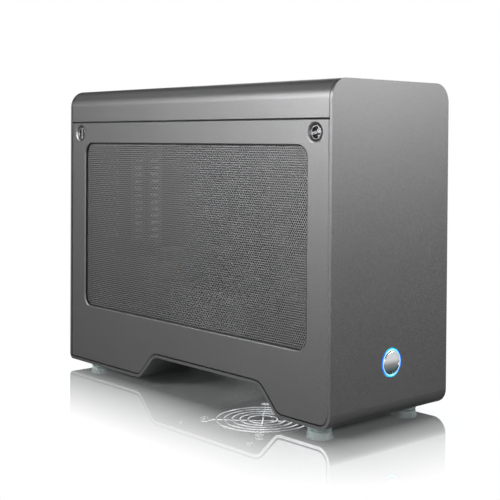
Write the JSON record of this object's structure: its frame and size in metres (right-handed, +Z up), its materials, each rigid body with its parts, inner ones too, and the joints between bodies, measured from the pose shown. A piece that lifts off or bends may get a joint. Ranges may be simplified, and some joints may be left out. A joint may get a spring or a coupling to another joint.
{
  "type": "expansion card chassis",
  "caption": "Upright bent-sheet housing for a long add-in card, with a mesh side panel on two grip screws, a floor tunnel, a fan guard and a lit front button.",
  "frame": {"origin": "middle of the footprint, on the plane the feet stand on", "axes": "+X from the mesh side to the plain side, +Y from the front face with the button to the rear face, +Z up"},
  "size_m": [0.133, 0.3531, 0.262],
  "materials": {
    "shell_wrap": "fine blasted, anodised grey",
    "shell_cover": "fine blasted, anodised grey",
    "shell_panel": "fine blasted, anodised grey",
    "mesh_black": "satin dark grey",
    "rivet_steel": "plain",
    "zinc_steel": "bright zinc",
    "screw_chrome": "satin nickel",
    "spring_steel": "blued",
    "rail_steel": "satin black",
    "shelf_steel": "satin black",
    "fastener_steel": "zinc plated",
    "foot_rubber": "clear grey",
    "disc_chrome": "polished",
    "ring_glow": "lit blue diffuser",
    "housing_plastic": "fine grained",
    "switch_plastic": "fine grained",
    "supply_steel": "zinc plated sheet",
    "circuit_board": "solder resist",
    "sink_aluminium": "extruded",
    "coil_copper": "lacquered winding wire",
    "can_plastic": "shrink sleeve",
    "fan_plastic": "moulded",
    "rotor_plastic": "moulded",
    "guard_chrome": "bright plated wire",
    "inlet_plastic": "moulded",
    "plug_plastic": "moulded",
    "lead_black": "cable sheath",
    "lead_brown": "wire insulation",
    "pin_brass": "bright",
    "rocker_plastic": "moulded",
    "connector_plastic": "moulded",
    "sink_black": "black anodised",
    "port_steel": "drawn shell",
    "blank_steel": "zinc plated sheet"
  },
  "bodies": {
    "chassis": {"wrap_frame": "shell_wrap", "top_cover": "shell_cover", "rail_left": "rail_steel", "rail_right": "rail_steel", "rail_nuts": "zinc_steel", "panel_keepers": "zinc_steel", "cover_brackets": "zinc_steel", "card_shelf": "shelf_steel", "shelf_studs": "zinc_steel", "rear_screws": "fastener_steel", "feet": "foot_rubber", "foot_screws": "fastener_steel", "light_ring": "ring_glow", "button_housing": "housing_plastic", "button_switch": "switch_plastic", "supply_base": "supply_steel", "supply_lid": "supply_steel", "supply_board": "circuit_board", "supply_heatsinks": "sink_aluminium", "supply_coils": "coil_copper", "supply_capacitors": "can_plastic", "fan_frame": "fan_plastic", "fan_motor": "coil_copper", "fan_guard": "guard_chrome", "guard_screws": "fastener_steel", "supply_screws": "fastener_steel", "supply_socket": "inlet_plastic", "supply_plug": "plug_plastic", "mains_lead": "lead_black", "switch_leads": "lead_brown", "mains_inlet": "inlet_plastic", "inlet_pins": "pin_brass", "inlet_screws": "fastener_steel", "rocker_bezel": "rocker_plastic", "slot_board": "circuit_board", "board_standoffs": "pin_brass", "card_connector": "connector_plastic", "board_heatsink": "sink_black", "board_parts": "connector_plastic", "port_shells": "port_steel", "slot_blanks": "blank_steel", "slot_ledge": "rail_steel", "blank_screws": "fastener_steel", "dc_lead": "lead_black", "card_lead": "lead_black", "card_plugs": "plug_plastic", "button_lead": "lead_black"},
    "panel": {"side_panel": "shell_panel", "panel_mesh": "mesh_black", "mesh_rivets": "rivet_steel", "screw_cups": "zinc_steel", "panel_lugs": "zinc_steel"},
    "grip_screw_front": {"panel_screw_front": "screw_chrome", "screw_clip_front": "spring_steel"},
    "grip_screw_rear": {"panel_screw_rear": "screw_chrome", "screw_clip_rear": "spring_steel"},
    "button": {"button_disc": "disc_chrome"},
    "rotor": {"fan_rotor": "rotor_plastic"},
    "power_rocker": {"rocker": "rocker_plastic"}
  },
  "joints": [
    {"name": "panel_slide", "type": "slide", "parent": "chassis", "child": "panel", "axis": [-1, 0, 0], "range_m": [0, 0.08]},
    {"name": "screw_front_turn", "type": "hinge", "parent": "panel", "child": "grip_screw_front", "pos_m": [-0.0652, -0.1565, 0.2223], "axis": [-1, 0, 0], "continuous": true},
    {"name": "screw_rear_turn", "type": "hinge", "parent": "panel", "child": "grip_screw_rear", "pos_m": [-0.0652, 0.1565, 0.2223], "axis": [-1, 0, 0], "continuous": true},
    {"name": "button_press", "type": "slide", "parent": "chassis", "child": "button", "axis": [0, 1, 0], "range_m": [0, 0.0015], "stiffness_N_per_m": 1200},
    {"name": "fan_spin", "type": "hinge", "parent": "chassis", "child": "rotor", "pos_m": [0, -0.029, 0.0385], "axis": [0, 0, 1], "continuous": true},
    {"name": "rocker_tilt", "type": "hinge", "parent": "chassis", "child": "power_rocker", "pos_m": [-0.008, 0.1705, 0.053], "axis": [0, 0, 1], "range_deg": [-14, 0]}
  ]
}
